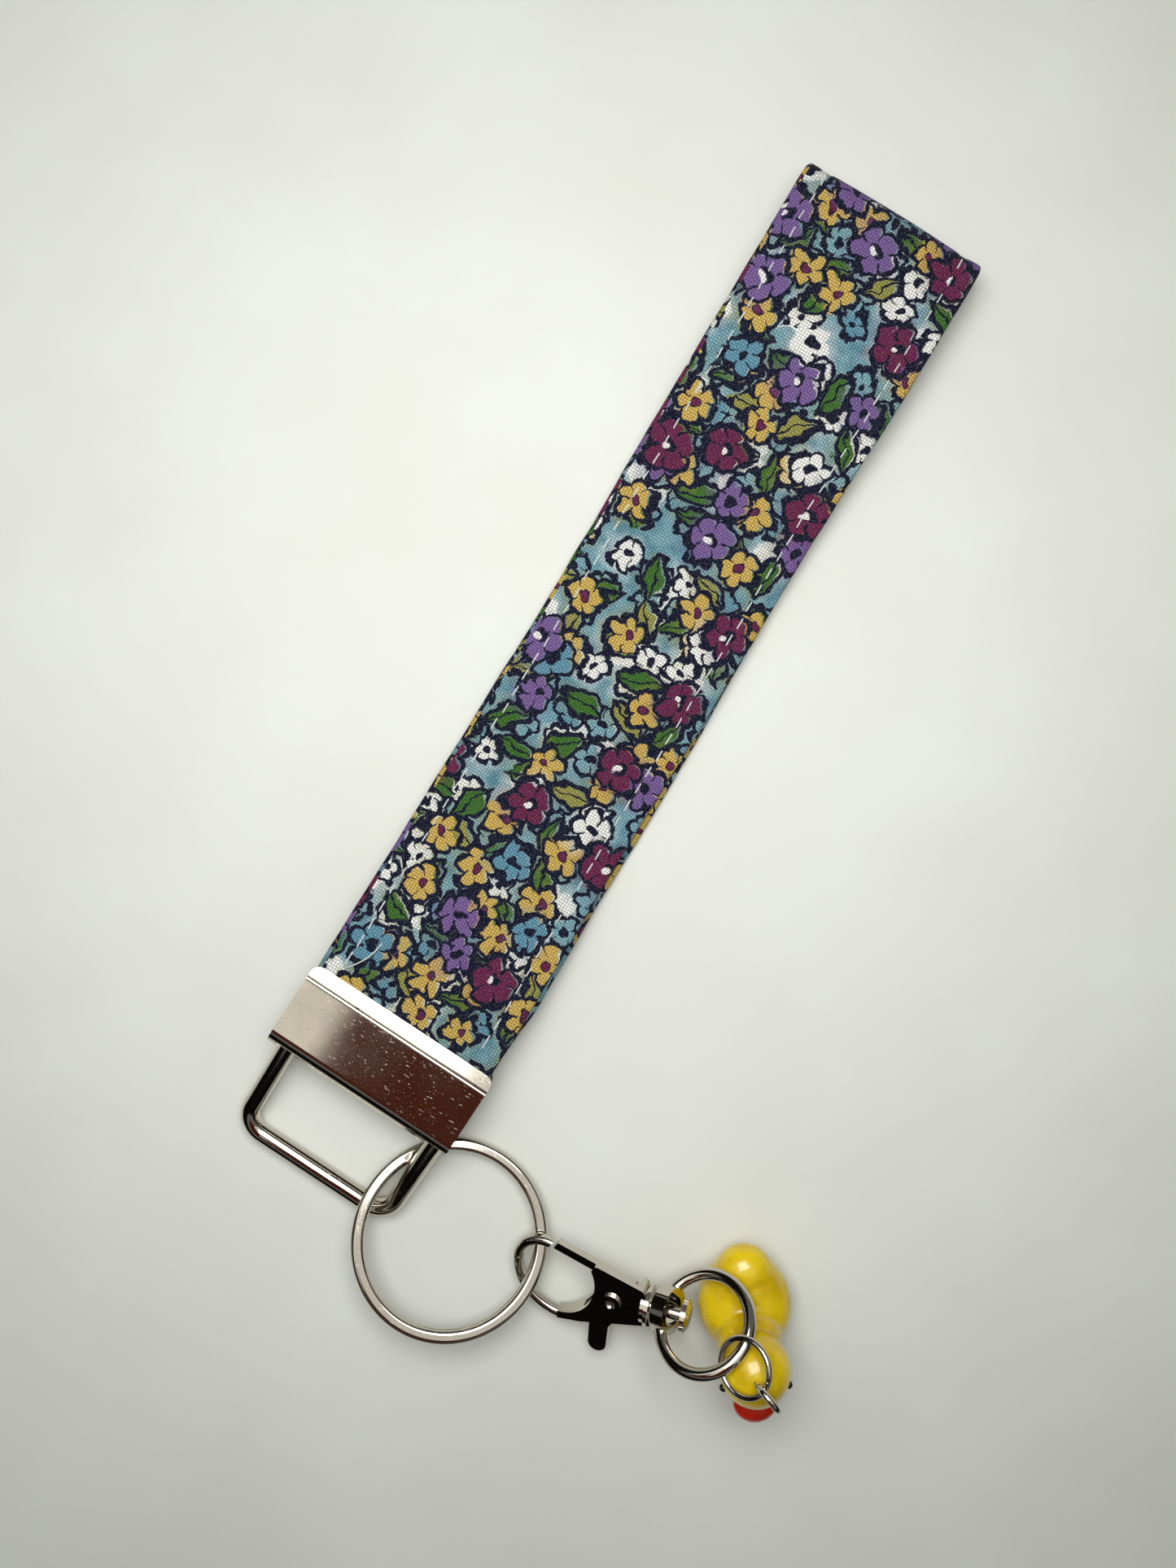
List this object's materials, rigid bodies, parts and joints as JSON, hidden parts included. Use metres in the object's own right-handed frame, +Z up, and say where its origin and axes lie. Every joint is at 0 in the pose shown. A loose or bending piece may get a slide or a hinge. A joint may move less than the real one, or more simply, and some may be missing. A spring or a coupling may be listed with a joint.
{
  "type": "wristlet keychain",
  "caption": "Fabric wrist strap folded into a loop, with a metal fob clamp, split ring, swivel lever clasp and a small yellow duck charm.",
  "frame": {"origin": "the surface the keychain rests on, under the middle of the flat strap", "axes": "+Y along the strap from the clamp to the fold, +Z up from the resting surface, +X across the strap towards the charm"},
  "size_m": [0.0925, 0.1847, 0.0241],
  "materials": {
    "cotton_print": "printed plain-weave cotton, teal ground with small flowers",
    "interfacing": "bonded interfacing",
    "topstitch_thread": "white polyester sewing thread",
    "clamp_nickel": "nickel-plated sheet steel, finely pitted and scratched",
    "loop_nickel": "polished nickel plating",
    "ring_nickel": "polished nickel plating",
    "clasp_nickel": "polished nickel plating on zinc casting",
    "swivel_nickel": "polished nickel plating",
    "link_nickel": "bright nickel-plated wire",
    "spring_steel": "bare spring steel",
    "duck_yellow": "glossy yellow enamel on cast resin",
    "bill_red": "glossy red-orange enamel",
    "eye_black": "glossy black enamel"
  },
  "bodies": {
    "strap": {"strap_cover": "cotton_print", "strap_core": "interfacing", "stitch_left": "topstitch_thread", "stitch_right": "topstitch_thread", "clamp_shell": "clamp_nickel"},
    "loop": {"clamp_loop": "loop_nickel"},
    "ring": {"split_ring": "ring_nickel"},
    "clasp": {"hook_body": "clasp_nickel", "gate_rivet": "clasp_nickel", "gate_spring": "spring_steel"},
    "gate": {"gate_lever": "clasp_nickel"},
    "post": {"swivel_post": "clasp_nickel"},
    "eye": {"swivel_eye": "swivel_nickel"},
    "link": {"jump_ring": "link_nickel"},
    "charm": {"screw_eye": "link_nickel", "duck_body": "duck_yellow", "duck_bill": "bill_red", "duck_eyes": "eye_black"}
  },
  "joints": [
    {"name": "loop_swing", "type": "hinge", "parent": "strap", "child": "loop", "pos_m": [0.00034, -0.0952, 0.0074], "axis": [0.9994, -0.0349, 0], "range_deg": [-24, 30]},
    {"name": "ring_swing", "type": "hinge", "parent": "loop", "child": "ring", "pos_m": [0.009, -0.11265, 0.00155], "axis": [0.9994, -0.0349, 0], "range_deg": [-35, 0]},
    {"name": "clasp_swing", "type": "hinge", "parent": "ring", "child": "clasp", "pos_m": [0.03568, -0.1026, 0.00313], "axis": [0.1874, -0.9531, 0.2376], "range_deg": [-30, 30]},
    {"name": "gate_press", "type": "hinge", "parent": "clasp", "child": "gate", "pos_m": [0.0489, -0.1031, 0.00705], "axis": [-0.1193, -0.4171, 0.901], "range_deg": [0, 16], "stiffness_Nm_per_rad": 0.02, "springref_deg": -8.59, "deforming": ["gate_spring"]},
    {"name": "swivel_spin", "type": "hinge", "parent": "clasp", "child": "post", "pos_m": [0.05621, -0.09999, 0.00946], "axis": [0.889, 0.3592, 0.284], "continuous": true},
    {"name": "eye_rock", "type": "hinge", "parent": "post", "child": "eye", "pos_m": [0.05625, -0.09987, 0.00919], "axis": [0.3093, -0.9284, 0.2059], "range_deg": [-35, 0]},
    {"name": "link_swing", "type": "hinge", "parent": "eye", "child": "link", "pos_m": [0.0658, -0.09761, 0.01789], "axis": [0.23, 0.9512, -0.2055], "range_deg": [-10, 0]},
    {"name": "charm_swing", "type": "hinge", "parent": "link", "child": "charm", "pos_m": [0.07028, -0.09869, 0.02112], "axis": [0.0425, 0.961, 0.2733], "range_deg": [-55, 0]}
  ]
}
